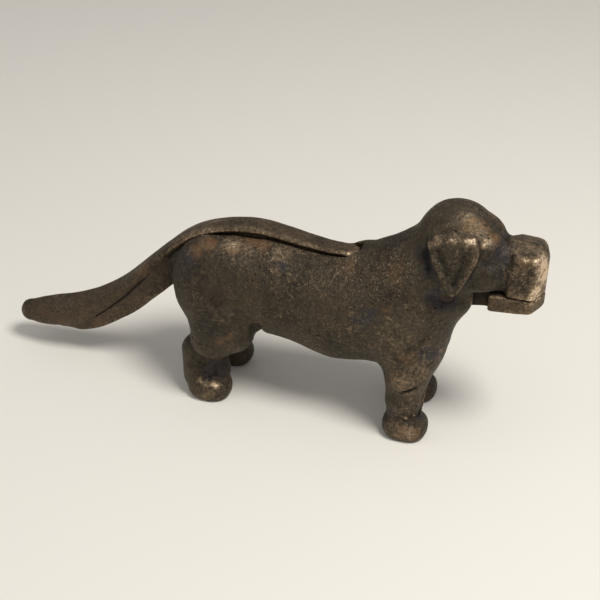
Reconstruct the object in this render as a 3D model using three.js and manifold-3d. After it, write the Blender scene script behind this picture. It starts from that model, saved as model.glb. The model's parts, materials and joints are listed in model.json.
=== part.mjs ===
// A lever nutcracker press: a standing cast-iron dog whose tail is the lever and whose mouth is the press.
// Lifting the tail drops the lower jaw, and pressing the tail down shuts the jaw on the nut.
// Millimetres, +Z up. The nose points to +X, the paws stand on Z = 0, and the seam of the two
// hollow body castings lies in the plane Y = 0, so +Y is the dog's left side.

import * as THREE from 'three';
import { mergeVertices } from 'three/addons/utils/BufferGeometryUtils.js';
import Module from 'manifold-3d';

const wasm = await Module();
wasm.setup();

// Driving dimensions
const length = 279.4; // tip of the nose to tip of the tail
const height = 124; // floor to the crown of the head
const halfWidth = 27; // centre plane to the outside of the haunch
const wall = 4; // thickness of the hollow castings
const seamGap = 0.3; // between the two body castings
const webThick = 8; // the lever's plate that runs inside the body
const webClear = 0.8; // running clearance all round that plate
const webBevel = 0.8; // softened edge of the plate
const strapGap = 0.6; // between the lever's strap and its seat on the back
const slotRun = 2.4; // room in the slot ahead of the strap's front end
const mouthGap = 0.8; // between the shut jaw and the upper lip
const openAngle = 35; // degrees that the lever lifts
const pinDiameter = 6; // the pivot pin
const rivetDiameter = 5; // the two rivets that hold the body halves together
const boreClear = 0.3; // round a pin or rivet in its bore
const bossRadius = 9.5; // the lever's eye round the pivot pin
const rivetBossRadius = 6; // the posts inside the body that the rivets pass through
const headDome = 0.6; // how far a peened pin end swells out of the casting
const nutRecess = 3.6; // depth of the hollow in the palate and of the one in the jaw
const nutHalfWidth = 7.6; // half width of those hollows
const ridgeHeight = 1.1; // the cross ridges that grip the nut
const facetWide = 5.3; // facet size on the trunk
const facetFine = 3.9; // facet size on the head, the paws and the jaw
const overrun = 5; // how far a cutting tool runs past the metal
const weld = 0.04; // slivers smaller than this are merged away

// Places are shares of the length, the half width and the height, and round radii of the half width
const place = (shares) => [shares[0] * length, shares[1] * halfWidth, shares[2] * height];
const side = (shares) => new THREE.Vector2(shares[0] * length, shares[1] * height);
const across = (share) => share * halfWidth;

// The pivot, and the two rivets in the haunch and the flank
const pivotShares = [0.347, 0.661];
const haunchRivetShares = [-0.047, 0.516];
const flankRivetShares = [0.129, 0.448];
const pivot = side(pivotShares);

// The body is modelled like clay, as limbs and lumps that run into each other.
// A limb tapers between two points, a lump is a rounded form, and blend is how softly each joins the rest.
const bodyClayShares = [
  { name: 'barrel rear', from: [-0.061, 0, 0.543], to: [0.029, 0, 0.534],
    radii: [0.874, 0.933], flat: 0.82 },
  { name: 'barrel', from: [0.029, 0, 0.534], to: [0.15, 0, 0.492],
    radii: [0.933, 1.037], flat: 0.78, blend: 0.22 },
  { name: 'ribs', from: [0.15, 0, 0.492], to: [0.252, 0, 0.5],
    radii: [1.037, 1.13], flat: 0.76, blend: 0.22 },
  { name: 'haunch', at: [-0.055, 0.352, 0.508], radii: [0.091, 0.556, 0.21], power: 2.2, blend: 0.3 },
  { name: 'thigh', from: [-0.047, 0.519, 0.411], to: [-0.059, 0.63, 0.29],
    radii: [0.556, 0.389], blend: 0.185 },
  { name: 'shank', from: [-0.1, 0.526, 0.218], to: [-0.095, 0.574, 0.097],
    radii: [0.326, 0.319], blend: 0.11 },
  { name: 'hind paw', at: [-0.078, 0.593, 0.052],
    radii: [0.042, 0.344, 0.07], power: 2.3, blend: 0.148 },
  { name: 'chest', at: [0.304, 0.204, 0.403], radii: [0.043, 0.444, 0.145], power: 2.2, blend: 0.26 },
  { name: 'shoulder', from: [0.272, 0.444, 0.484], to: [0.29, 0.567, 0.29],
    radii: [0.519, 0.37], blend: 0.3 },
  { name: 'foreleg', from: [0.29, 0.567, 0.29], to: [0.287, 0.578, 0.113],
    radii: [0.363, 0.304], blend: 0.22 },
  { name: 'fore paw', at: [0.293, 0.596, 0.053], radii: [0.04, 0.344, 0.07], power: 2.3, blend: 0.148 },
  { name: 'nape', from: [0.229, 0, 0.573], to: [0.286, 0, 0.673],
    radii: [0.778, 0.681], flat: 0.95, blend: 0.37 },
  { name: 'neck', from: [0.286, 0, 0.673], to: [0.327, 0, 0.774],
    radii: [0.681, 0.622], flat: 0.95, blend: 0.22 },
  { name: 'throat', from: [0.286, 0, 0.54], to: [0.34, 0, 0.625],
    radii: [0.667, 0.519], flat: 0.9, blend: 0.3 },
];
const headClayShares = [
  { name: 'skull', at: [0.353, 0, 0.847], radii: [0.067, 0.541, 0.148], power: 2.3 },
  { name: 'brow', at: [0.393, 0.244, 0.853], radii: [0.031, 0.237, 0.061], power: 2.2, blend: 0.185 },
  { name: 'cheek', at: [0.383, 0.278, 0.77], radii: [0.054, 0.333, 0.081], power: 2.3, blend: 0.185 },
  { name: 'muzzle', at: [0.445, 0, 0.786], radii: [0.055, 0.415, 0.105], power: 3.6, blend: 0.11 },
];
const headBlendShare = 0.22;

// The ear hangs as a flat leaf that leans away from the head towards its tip
const earOutlineShares = [
  [0.309, 0.889], [0.345, 0.918], [0.384, 0.92], [0.394, 0.865], [0.381, 0.786],
  [0.362, 0.714], [0.343, 0.744], [0.322, 0.815],
];
const earTopShare = 0.915;
const earFold = 13; // from the centre plane to the middle of the ear at its fold
const earThick = 5.6;
const earBevel = 1.6;
const earLean = 0.28; // outwards for each millimetre down

// Room for the hollow in the trunk, which the wall thickness then narrows
const coreClayShares = [
  { name: 'core rear', from: [-0.075, 0, 0.54], to: [0.09, 0, 0.52], radii: [0.9, 1], flat: 0.95 },
  { name: 'core front', from: [0.09, 0, 0.52], to: [0.25, 0, 0.52],
    radii: [1, 1], flat: 0.95, blend: 0.2 },
];

// The strap from the tip of the tail to its front end on the back: place along the length,
// height of the middle, half width and half thickness
const strapShares = [
  [-0.471, 0.152, 0.289, 0.274], [-0.422, 0.171, 0.326, 0.307], [-0.376, 0.203, 0.33, 0.307],
  [-0.336, 0.247, 0.319, 0.278], [-0.301, 0.303, 0.304, 0.219], [-0.265, 0.37, 0.289, 0.17],
  [-0.236, 0.435, 0.274, 0.133], [-0.204, 0.513, 0.263, 0.104], [-0.168, 0.592, 0.256, 0.093],
  [-0.129, 0.669, 0.252, 0.085], [-0.089, 0.717, 0.252, 0.081], [-0.043, 0.751, 0.248, 0.081],
  [0.004, 0.765, 0.244, 0.081], [0.05, 0.753, 0.237, 0.078], [0.089, 0.737, 0.226, 0.067],
  [0.129, 0.727, 0.219, 0.059], [0.165, 0.726, 0.211, 0.056],
];
const strapPower = 2.3; // squareness of the strap's rounded section

// The plate under the strap: its lower edge from the tail to the pivot, then its upper edge
// back from the pivot to the slot, low enough to pass under the back when the tail is up
const webLowShares = [
  [-0.401, 0.128], [-0.372, 0.111], [-0.344, 0.129], [-0.308, 0.166], [-0.268, 0.228], [-0.236, 0.285],
  [-0.197, 0.373], [-0.161, 0.446], [-0.125, 0.512], [-0.079, 0.573], [0, 0.597], [0.079, 0.577],
  [0.143, 0.516], [0.186, 0.452], [0.215, 0.431], [0.258, 0.46], [0.308, 0.54], [0.347, 0.597],
];
const webTopShares = [
  [0.347, 0.726], [0.315, 0.694], [0.272, 0.597], [0.229, 0.544], [0.2, 0.54], [0.186, 0.581],
];
const webFrontShare = 0.182;
const webStartShare = -0.4;

// The throat arm and the lower jaw ahead of the pivot
const armShares = [
  [0.347, 0.597], [0.385, 0.594], [0.43, 0.61], [0.43, 0.679], [0.385, 0.69], [0.347, 0.719],
];
const jawClayShares = [{ name: 'jaw', at: [0.4538, 0, 0.663], radii: [0.0437, 0.407, 0.052], power: 4.5 }];
const lipShare = 0.692; // height of the upper lip's edge
const mouthStartShare = 0.4; // where the lips begin behind the muzzle
const nutShares = { from: 0.418, to: 0.482, ridges: [0.434, 0.45, 0.466] };

// Clay modelling: each form gives the distance of a point from its surface, below zero inside

function limbForm(form) {
  const a = place(form.from);
  const b = place(form.to);
  const run = [b[0] - a[0], b[1] - a[1], b[2] - a[2]];
  const runSquared = run[0] ** 2 + run[1] ** 2 + run[2] ** 2;
  const radii = form.radii.map(across);
  const flat = form.flat ?? 1;
  return (x, y, z) => {
    const dot = (x - a[0]) * run[0] + (y - a[1]) * run[1] + (z - a[2]) * run[2];
    const t = THREE.MathUtils.clamp(dot / runSquared, 0, 1);
    const off = Math.hypot(x - a[0] - t * run[0], (y - a[1] - t * run[1]) / flat, z - a[2] - t * run[2]);
    return (off - THREE.MathUtils.lerp(radii[0], radii[1], t)) * Math.sqrt(flat);
  };
}

function lumpForm(form) {
  const centre = place(form.at);
  const radii = place(form.radii);
  const power = form.power;
  return (x, y, z) => {
    const parts = [x, y, z].map((value, i) => Math.abs(value - centre[i]) / radii[i] + Number.EPSILON);
    const size = (parts[0] ** power + parts[1] ** power + parts[2] ** power) ** (1 / power);
    const slopes = parts.map((value, i) => (value / size) ** (power - 1) / radii[i]);
    return (size - 1) / Math.hypot(...slopes);
  };
}

function blendTwo(a, b, soft) {
  if (!soft) return Math.min(a, b);
  const near = Math.max(soft - Math.abs(a - b), 0) / soft;
  return Math.min(a, b) - (near * near * soft) / 4;
}

function clay(formShares) {
  const forms = formShares.map((form) => ({
    distance: form.from ? limbForm(form) : lumpForm(form),
    blend: across(form.blend ?? 0),
  }));
  return (x, y, z) => forms.reduce(
    (sum, form) => blendTwo(sum, form.distance(x, Math.abs(y), z), form.blend),
    Infinity,
  );
}

// Grid lines from stop to stop, evenly spaced and at most that section's facet apart
function gridLines(stops, facets) {
  const sections = facets.map((facet, n) => {
    const [from, to] = [stops[n], stops[n + 1]];
    const count = Math.ceil((to - from) / facet);
    return Array.from({ length: count }, (_, i) => THREE.MathUtils.lerp(from, to, i / count));
  });
  return [...sections.flat(), stops.at(-1)];
}

// Where only two opposite corners of a grid square are inside, the skin would pinch to a line.
// The outside corner nearest to the surface is filled until no such square is left.
function fillPinches(field, count, stride) {
  let filled = true;
  while (filled) {
    filled = false;
    for (let axis = 0; axis < 3; axis += 1) {
      const [u, v] = [(axis + 1) % 3, (axis + 2) % 3];
      for (let here = 0; here < field.length; here += 1) {
        const cell = stride.map((step, n) => Math.floor(here / step) % count[n]);
        if (cell[u] + 1 === count[u] || cell[v] + 1 === count[v]) continue;
        const [a, b] = [here, here + stride[u] + stride[v]];
        const [c, d] = [here + stride[u], here + stride[v]];
        const inside = [a, b, c, d].map((id) => field[id] < 0);
        if (inside[0] !== inside[1] || inside[2] !== inside[3] || inside[0] === inside[2]) continue;
        const [e, f] = inside[0] ? [c, d] : [a, b];
        const nearest = field[e] < field[f] ? e : f;
        field[nearest] = -field[nearest];
        filled = true;
      }
    }
  }
}

// Turns a distance field into a closed skin: one vertex in each grid cell that the surface
// passes through, in the middle of its crossings, and one quad round each crossed grid edge
function skin(distance, xs, ys, zs) {
  const grid = [xs, ys, zs];
  const count = grid.map((values) => values.length);
  const at = (i, j, k) => (i * count[1] + j) * count[2] + k;
  const stride = [count[1] * count[2], count[2], 1];
  const field = new Float64Array(count[0] * count[1] * count[2]);
  xs.forEach((x, i) => ys.forEach((y, j) => zs.forEach((z, k) => {
    field[at(i, j, k)] = distance(x, y, z) || Number.EPSILON;
  })));
  fillPinches(field, count, stride);
  const sums = new Map();
  const quads = [];
  for (let i = 0; i < count[0]; i += 1) {
    for (let j = 0; j < count[1]; j += 1) {
      for (let k = 0; k < count[2]; k += 1) {
        const cell = [i, j, k];
        const here = at(i, j, k);
        for (let axis = 0; axis < 3; axis += 1) {
          if (cell[axis] + 1 >= count[axis]) continue;
          const next = here + stride[axis];
          if (field[here] < 0 === field[next] < 0) continue;
          const share = field[here] / (field[here] - field[next]);
          const point = [xs[i], ys[j], zs[k]];
          point[axis] = THREE.MathUtils.lerp(grid[axis][cell[axis]], grid[axis][cell[axis] + 1], share);
          const [u, v] = [(axis + 1) % 3, (axis + 2) % 3];
          const corners = [[1, 1], [0, 1], [0, 0], [1, 0]];
          const around = corners.map(([du, dv]) => here - du * stride[u] - dv * stride[v]);
          around.forEach((id) => {
            const sum = sums.get(id) ?? { point: [0, 0, 0], hits: 0 };
            sum.point = sum.point.map((value, axisOf) => value + point[axisOf]);
            sum.hits += 1;
            sums.set(id, sum);
          });
          quads.push(field[here] < 0 ? around : around.reverse());
        }
      }
    }
  }
  const index = new Map([...sums.keys()].map((id, n) => [id, n]));
  const positions = [...sums.values()].flatMap((sum) => sum.point.map((value) => value / sum.hits));
  const triangles = quads.flatMap((quad) => {
    const [a, b, c, d] = quad.map((id) => index.get(id));
    return [a, b, c, a, c, d];
  });
  return meshSolid(positions, triangles);
}

// Solids for joining and cutting

function meshSolid(positions, triangles) {
  const mesh = new wasm.Mesh({
    numProp: 3,
    vertProperties: new Float32Array(positions),
    triVerts: new Uint32Array(triangles),
  });
  return new wasm.Manifold(mesh);
}

function solidOf(geometry) {
  const bare = geometry.index ? geometry.toNonIndexed() : geometry.clone();
  bare.deleteAttribute('normal');
  bare.deleteAttribute('uv');
  const merged = mergeVertices(bare);
  return meshSolid(merged.attributes.position.array, merged.index.array);
}

function geometryOf(solid) {
  const mesh = solid.simplify(weld).getMesh();
  const geometry = new THREE.BufferGeometry();
  const positions = [];
  for (let i = 0; i < mesh.vertProperties.length; i += mesh.numProp) {
    positions.push(...mesh.vertProperties.slice(i, i + 3));
  }
  geometry.setAttribute('position', new THREE.Float32BufferAttribute(positions, 3));
  geometry.setIndex([...mesh.triVerts]);
  geometry.computeVertexNormals();
  return geometry;
}

// A plate of the given thickness, centred on the plane Y = 0, from an outline of X and Z places
function plateGeometry(points, thick, bevel) {
  const geometry = new THREE.ExtrudeGeometry(new THREE.Shape(points), {
    depth: thick - 2 * bevel,
    bevelEnabled: bevel > 0,
    bevelThickness: bevel,
    bevelSize: bevel,
    bevelOffset: -bevel,
    bevelSegments: 1,
  });
  geometry.translate(0, 0, bevel - thick / 2);
  geometry.rotateX(Math.PI / 2);
  return geometry;
}

function plate(points, thick, bevel = 0) {
  return solidOf(plateGeometry(points, thick, bevel));
}

// A round bar along Y between two places
function bar(centre, radius, from, to, sides = 32) {
  const geometry = new THREE.CylinderGeometry(radius, radius, to - from, sides);
  geometry.translate(centre.x, (from + to) / 2, centre.y);
  return solidOf(geometry);
}

function block(low, high) {
  const geometry = new THREE.BoxGeometry(high[0] - low[0], high[1] - low[1], high[2] - low[2]);
  geometry.translate((low[0] + high[0]) / 2, (low[1] + high[1]) / 2, (low[2] + high[2]) / 2);
  return solidOf(geometry);
}

function smoothPoints(points, perSpan) {
  return new THREE.SplineCurve(points).getPoints((points.length - 1) * perSpan);
}

// Outer form of the dog without its ears, the room for its hollow, and its half width at a place

const bodyClay = clay(bodyClayShares);
const headClay = clay(headClayShares);
const coreClay = clay(coreClayShares);

function dogDistance(x, y, z) {
  return blendTwo(bodyClay(x, y, z), headClay(x, y, z), across(headBlendShare));
}

function surfaceHalfWidth(centre) {
  let inner = 0;
  let outer = 2 * halfWidth;
  while (outer - inner > boreClear / 10) {
    const middle = (inner + outer) / 2;
    if (dogDistance(centre.x, middle, centre.y) < 0) inner = middle;
    else outer = middle;
  }
  return inner;
}

// The strap with its rounded ends: rings along a smooth curve through the places in the table.
// grow makes the same form larger all round, and run lengthens its front end.
function strap(grow = 0, run = 0) {
  const middles = strapShares.map(([x, z]) => new THREE.Vector3(x * length, 0, z * height));
  const sizes = strapShares.map(([, , w, h]) => new THREE.Vector3(across(w), across(h), 0));
  const middleCurve = new THREE.CatmullRomCurve3(middles, false, 'catmullrom');
  const sizeCurve = new THREE.CatmullRomCurve3(sizes, false, 'catmullrom');
  const spans = (strapShares.length - 1) * 2;
  const capSteps = 4;
  const rings = [];
  const addRing = (t, ahead, widthShare, heightShare) => {
    const size = sizeCurve.getPoint(t);
    const along = middleCurve.getTangent(t);
    const middle = middleCurve.getPoint(t).addScaledVector(along, ahead);
    const up = new THREE.Vector3(-along.z, 0, along.x);
    rings.push({ middle, up, half: (size.x + grow) * widthShare, thick: (size.y + grow) * heightShare });
  };
  for (let i = capSteps; i > 0; i -= 1) {
    const turn = (i / (capSteps + 1)) * (Math.PI / 2);
    addRing(0, -(sizes[0].x + grow) * Math.sin(turn), Math.cos(turn), Math.cos(turn));
  }
  for (let i = 0; i <= spans; i += 1) addRing(i / spans, 0, 1, 1);
  for (let i = 1; i <= capSteps; i += 1) {
    const turn = (i / (capSteps + 1)) * (Math.PI / 2);
    addRing(1, run + (sizes.at(-1).x + grow) * Math.sin(turn), Math.cos(turn), Math.cos(turn) ** 0.4);
  }
  const ends = [
    middles[0].clone().addScaledVector(middleCurve.getTangent(0), -(sizes[0].x + grow)),
    middles.at(-1).clone().addScaledVector(middleCurve.getTangent(1), run + sizes.at(-1).x + grow),
  ];
  return loft(rings, ends);
}

// Skins rings of rounded section, each given by its middle, up direction, half width and half thickness
function loft(rings, ends) {
  const sides = 18;
  const positions = rings.flatMap((ring) => Array.from({ length: sides }, (_, i) => {
    const turn = (i / sides) * 2 * Math.PI;
    const [c, s] = [Math.cos(turn), Math.sin(turn)];
    const y = ring.half * Math.sign(c) * Math.abs(c) ** (2 / strapPower);
    const up = ring.thick * Math.sign(s) * Math.abs(s) ** (2 / strapPower);
    return [ring.middle.x + ring.up.x * up, y, ring.middle.z + ring.up.z * up];
  })).flat();
  ends.forEach((end) => positions.push(end.x, end.y, end.z));
  const first = rings.length * sides;
  const last = first + 1;
  const triangles = [];
  for (let i = 0; i < sides; i += 1) {
    const j = (i + 1) % sides;
    for (let r = 0; r + 1 < rings.length; r += 1) {
      const [a, b] = [r * sides, (r + 1) * sides];
      triangles.push(a + i, a + j, b + i, a + j, b + j, b + i);
    }
    const end = (rings.length - 1) * sides;
    triangles.push(first, j, i, last, end + i, end + j);
  }
  return meshSolid(positions, triangles);
}

// The plate's outline: lower edge, eye end, dipped upper edge, and back under the strap
function webOutline() {
  const low = smoothPoints(webLowShares.map(side), 1);
  const top = smoothPoints(webTopShares.map(side), 2);
  const under = strapShares
    .filter(([x]) => x > webStartShare && x < webFrontShare)
    .map(([x, z]) => side([x, z]))
    .reverse();
  const front = side([webFrontShare, strapShares.at(-1)[1]]);
  return [...low, ...top, front, ...under];
}

// The same outline, moved outwards by a clearance
function grown(points, clearance) {
  return points.map((point, i) => {
    const before = points[(i + points.length - 1) % points.length];
    const after = points[(i + 1) % points.length];
    const along = after.clone().sub(before).normalize();
    return new THREE.Vector2(point.x + along.y * clearance, point.y - along.x * clearance);
  });
}

// A hollow for the nut, half in the palate and half in the jaw, with cross ridges left in it
function nutHollow() {
  const middleX = ((nutShares.from + nutShares.to) / 2) * length;
  const halfLength = ((nutShares.to - nutShares.from) / 2) * length;
  const geometry = new THREE.SphereGeometry(1, 20, 12);
  geometry.scale(halfLength, nutHalfWidth, nutRecess + mouthGap / 2);
  geometry.translate(middleX, 0, lipHeight - mouthGap / 2);
  const hollow = solidOf(geometry);
  return nutShares.ridges.reduce((rest, share) => rest.subtract(ridge(share * length)), hollow);
}

function ridge(x) {
  const middle = lipHeight - mouthGap / 2;
  const reach = nutRecess + mouthGap / 2;
  const tip = reach - ridgeHeight;
  const half = ridgeHeight;
  const upper = [
    new THREE.Vector2(x - half, middle + reach),
    new THREE.Vector2(x, middle + tip),
    new THREE.Vector2(x + half, middle + reach),
  ];
  const lower = upper.map((point) => new THREE.Vector2(point.x, 2 * middle - point.y)).reverse();
  return plate(upper, 2 * nutHalfWidth).add(plate(lower, 2 * nutHalfWidth));
}

const lipHeight = lipShare * height;
const jawTop = lipHeight - mouthGap;

// The one-piece lever: tail, strap, plate, eye, throat arm and lower jaw
function makeLever() {
  const jawMiddle = place(jawClayShares[0].at);
  const jawReach = place(jawClayShares[0].radii);
  const low = jawMiddle.map((value, i) => value - jawReach[i] - facetFine / 2);
  const high = jawMiddle.map((value, i) => value + jawReach[i] + facetFine / 2);
  const jaw = skin(clay(jawClayShares), ...low.map((value, i) => gridLines([value, high[i]], [facetFine])));
  const aboveJaw = block([low[0], low[1], jawTop], high);
  const eye = bar(pivot, bossRadius, -webThick / 2, webThick / 2);
  const arm = plate(armShares.map(side), webThick - webBevel, webBevel);
  const bore = bar(pivot, pinDiameter / 2 + boreClear, -halfWidth, halfWidth);
  return strap()
    .add(plate(webOutline(), webThick, webBevel))
    .add(eye)
    .add(arm)
    .add(jaw.subtract(aboveJaw))
    .subtract(nutHollow())
    .subtract(bore);
}

// Room for the lever inside the body, swept from shut to open
function leverRoom() {
  const steps = 4;
  const shapes = [grown(webOutline(), webClear), grown(armShares.map(side), webClear)];
  const thick = webThick + 2 * webClear;
  const parts = [];
  for (let i = 0; i <= steps; i += 1) {
    const turn = -(THREE.MathUtils.degToRad(openAngle) * i) / steps;
    shapes.forEach((shape) => parts.push(
      plate(shape.map((point) => point.clone().rotateAround(pivot, turn)), thick),
    ));
  }
  const eyeRoom = bar(pivot, bossRadius + webClear, -thick / 2, thick / 2);
  return parts.reduce((sum, part) => sum.add(part), eyeRoom);
}

// The ear on the +Y side, leaning away from the head
function makeEar() {
  const loop = new THREE.SplineCurve([...earOutlineShares, earOutlineShares[0]].map(side));
  const outline = loop.getPoints(earOutlineShares.length * 2).slice(0, -1);
  const geometry = plateGeometry(outline.reverse(), earThick, earBevel);
  const lean = new THREE.Matrix4().makeShear(0, 0, 0, 0, 0, -earLean);
  geometry.applyMatrix4(lean);
  geometry.translate(0, earFold + earLean * earTopShare * height, 0);
  return solidOf(geometry);
}

// One hollow body casting, the one on the +Y side
function makeBodyHalf() {
  const rear = bodyClayShares[3].at[0] * length - bodyClayShares[3].radii[0] * length - overrun;
  const headStart = earOutlineShares[0][0] * length;
  const nose = length / 2 + overrun;
  const ankle = bodyClayShares[5].to[2] * 2 * height;
  const neckLine = webTopShares[1][1] * height;
  const xs = gridLines([rear, headStart, nose], [facetWide, facetFine]);
  const ys = gridLines([-facetFine * 1.5, halfWidth + overrun], [facetFine]);
  const zs = gridLines([-overrun, ankle, neckLine, height + overrun], [facetFine, facetWide, facetFine]);
  const outer = skin((x, y, z) => Math.max(dogDistance(x, y, z), -y - facetFine), xs, ys, zs);
  const hollow = skin(
    (x, y, z) => Math.max(dogDistance(x, y, z) + wall, coreClay(x, y, z), -y - facetFine),
    gridLines([rear, nose], [facetWide]),
    gridLines([-facetFine * 1.5, halfWidth], [facetWide]),
    gridLines([-overrun, height], [facetWide]),
  );
  const post = (centre) => bar(centre, rivetBossRadius, -overrun, halfWidth + overrun).intersect(outer);
  const bore = (centre, diameter) => bar(centre, diameter / 2 + boreClear, -overrun, 2 * halfWidth);
  const haunchRivet = side(haunchRivetShares);
  const flankRivet = side(flankRivetShares);
  const mouth = block(
    [mouthStartShare * length, -overrun, 0],
    [nose, halfWidth, lipHeight],
  );
  const keep = block([-length, seamGap / 2, 0], [length, 2 * halfWidth, height + overrun]);
  return outer
    .add(makeEar())
    .subtract(hollow)
    .add(post(haunchRivet))
    .add(post(flankRivet))
    .subtract(leverRoom())
    .subtract(strap(strapGap, slotRun))
    .subtract(mouth)
    .subtract(nutHollow())
    .subtract(bore(pivot, pinDiameter))
    .subtract(bore(haunchRivet, rivetDiameter))
    .subtract(bore(flankRivet, rivetDiameter))
    .intersect(keep);
}

// The same casting on the other side of the seam
function mirrored(solid) {
  const mesh = solid.getMesh();
  const positions = Array.from(mesh.vertProperties, (value, i) => (i % 3 === 1 ? -value : value));
  const triangles = [];
  for (let i = 0; i < mesh.triVerts.length; i += 3) {
    triangles.push(mesh.triVerts[i], mesh.triVerts[i + 2], mesh.triVerts[i + 1]);
  }
  return meshSolid(positions, triangles);
}

// A pin right through the body, with both ends peened to a low dome
function pinGeometry(centre, diameter) {
  const half = surfaceHalfWidth(centre);
  const radius = diameter / 2;
  const profile = [new THREE.Vector2(0, -half - headDome)];
  const domeSteps = 3;
  for (let i = 1; i <= domeSteps; i += 1) {
    const turn = ((i / domeSteps) * Math.PI) / 2;
    profile.push(new THREE.Vector2(radius * Math.sin(turn), -half - headDome * Math.cos(turn)));
  }
  profile.slice().reverse().forEach((point) => profile.push(new THREE.Vector2(point.x, -point.y)));
  const geometry = new THREE.LatheGeometry(profile, 24);
  geometry.translate(centre.x, 0, centre.y);
  return geometry;
}

const metal = (color, roughness, metalness) => () => (
  new THREE.MeshStandardMaterial({ color, roughness, metalness })
);
const bodyIron = metal(0x4a3a2c, 0.5, 0.75);
const leverIron = metal(0x44362a, 0.48, 0.75);
const steel = metal(0x5b5148, 0.42, 0.85);

const dog = new THREE.Group();

function addMesh(name, geometry, material) {
  const mesh = new THREE.Mesh(geometry, material);
  mesh.name = name;
  dog.add(mesh);
}

const leftHalf = makeBodyHalf();
addMesh('body_left_half', geometryOf(leftHalf), bodyIron());
addMesh('body_right_half', geometryOf(mirrored(leftHalf)), bodyIron());
addMesh('lever', geometryOf(makeLever()), leverIron());
addMesh('pivot_pin', pinGeometry(pivot, pinDiameter), steel());
addMesh('haunch_rivet', pinGeometry(side(haunchRivetShares), rivetDiameter), steel());
addMesh('flank_rivet', pinGeometry(side(flankRivetShares), rivetDiameter), steel());

export default dog;
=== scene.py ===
"""A cast-iron dog nutcracker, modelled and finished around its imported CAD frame.

The castings are sculpted in clay forms: limbs, lumps and plates that run into each other, given as
distances from a surface and then skinned. The CAD solids come from the same forms with fewer details.
The tables are in millimetres: X towards the nose, Y towards the dog's left side, Z up from the floor.
"""

import itertools
import json
import math

import bpy
import numpy as np
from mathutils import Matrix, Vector


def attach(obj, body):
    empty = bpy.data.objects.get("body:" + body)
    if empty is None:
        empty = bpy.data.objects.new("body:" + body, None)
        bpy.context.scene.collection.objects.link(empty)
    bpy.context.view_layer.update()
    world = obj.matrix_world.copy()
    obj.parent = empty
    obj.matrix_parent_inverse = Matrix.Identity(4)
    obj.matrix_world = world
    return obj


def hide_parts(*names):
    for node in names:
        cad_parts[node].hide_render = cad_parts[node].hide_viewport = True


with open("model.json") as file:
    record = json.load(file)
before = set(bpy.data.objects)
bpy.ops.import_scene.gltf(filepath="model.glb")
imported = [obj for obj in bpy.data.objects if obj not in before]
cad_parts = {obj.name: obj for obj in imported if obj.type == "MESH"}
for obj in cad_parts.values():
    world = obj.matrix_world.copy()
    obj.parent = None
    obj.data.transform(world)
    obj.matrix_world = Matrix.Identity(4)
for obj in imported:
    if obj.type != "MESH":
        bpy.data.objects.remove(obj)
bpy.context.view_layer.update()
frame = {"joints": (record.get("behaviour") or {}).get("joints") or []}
MM = 0.001


joint = frame["joints"][0]
PIVOT = [value / MM for value in joint["pos_m"]]
OPEN_ANGLE = math.radians(joint["range_deg"][1])

# Clearances between the castings
SEAM_HALF_GAP = 0.04
WEB_HALF = 4.0
WEB_CLEAR = 0.8
STRAP_GAP = 0.6
SLOT_RUN = 1.2
WALL = 4.0
LIP_Z = 85.8
JAW_TOP_Z = 85.0
MOUTH_X = 112.0


# Clay forms. Each returns a function that gives how far points lie from its surface, below zero inside.

def limb(start, end, radii, flat=1.0):
    """A tapered round bar between two points, squeezed in Y by flat."""
    run = [b - a for a, b in zip(start, end)]
    length2 = sum(value * value for value in run)

    def distance(x, y, z):
        dot = (x - start[0]) * run[0] + (y - start[1]) * run[1] + (z - start[2]) * run[2]
        t = np.clip(dot / length2, 0, 1)
        off2 = (x - start[0] - t * run[0]) ** 2 + (z - start[2] - t * run[2]) ** 2
        off = np.sqrt(off2 + ((y - start[1] - t * run[1]) / flat) ** 2)
        return (off - radii[0] - (radii[1] - radii[0]) * t) * math.sqrt(min(flat, 1.0))

    return distance


def lump(at, radii, power=2.0, tilt=0.0):
    """A rounded block, squarer with a higher power, tilted in degrees about Y."""
    cos, sin = math.cos(math.radians(tilt)), math.sin(math.radians(tilt))

    def distance(x, y, z):
        u, v, w = x - at[0], y - at[1], z - at[2]
        if tilt:
            u, w = cos * u + sin * w, cos * w - sin * u
        parts = [np.abs(value) / radius + 1e-9 for value, radius in zip((u, v, w), radii)]
        size = sum(part ** power for part in parts) ** (1 / power)
        steep = sum((part ** (power - 1) / radius) ** 2 for part, radius in zip(parts, radii))
        return (size - 1) / np.sqrt(steep) * size ** (power - 1)

    return distance


def facets(planes, soft):
    """A block with flat faces and softened edges. A plane is a direction and how far out it lies."""
    def distance(x, y, z):
        d = -1e3
        for direction, reach in planes:
            size = math.sqrt(sum(value * value for value in direction))
            side = (direction[0] * x + direction[1] * y + direction[2] * z - reach) / size
            d = -join(-d + 0 * side, -side, soft)
        return d

    return distance


def outline_distance(points, x, z):
    """Signed distance in the XZ plane from a closed outline."""
    nearest2 = np.full(np.broadcast(x, z).shape, 1e12)
    inside = np.zeros(nearest2.shape, bool)
    for (ax, az), (bx, bz) in zip(points, np.roll(points, -1, axis=0)):
        dx, dz = bx - ax, bz - az
        t = np.clip(((x - ax) * dx + (z - az) * dz) / (dx * dx + dz * dz + 1e-12), 0, 1)
        nearest2 = np.minimum(nearest2, (x - ax - t * dx) ** 2 + (z - az - t * dz) ** 2)
        if az != bz:
            inside ^= ((az > z) != (bz > z)) & (x < ax + (z - az) * dx / dz)
    return np.where(inside, -1, 1) * np.sqrt(nearest2)


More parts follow.
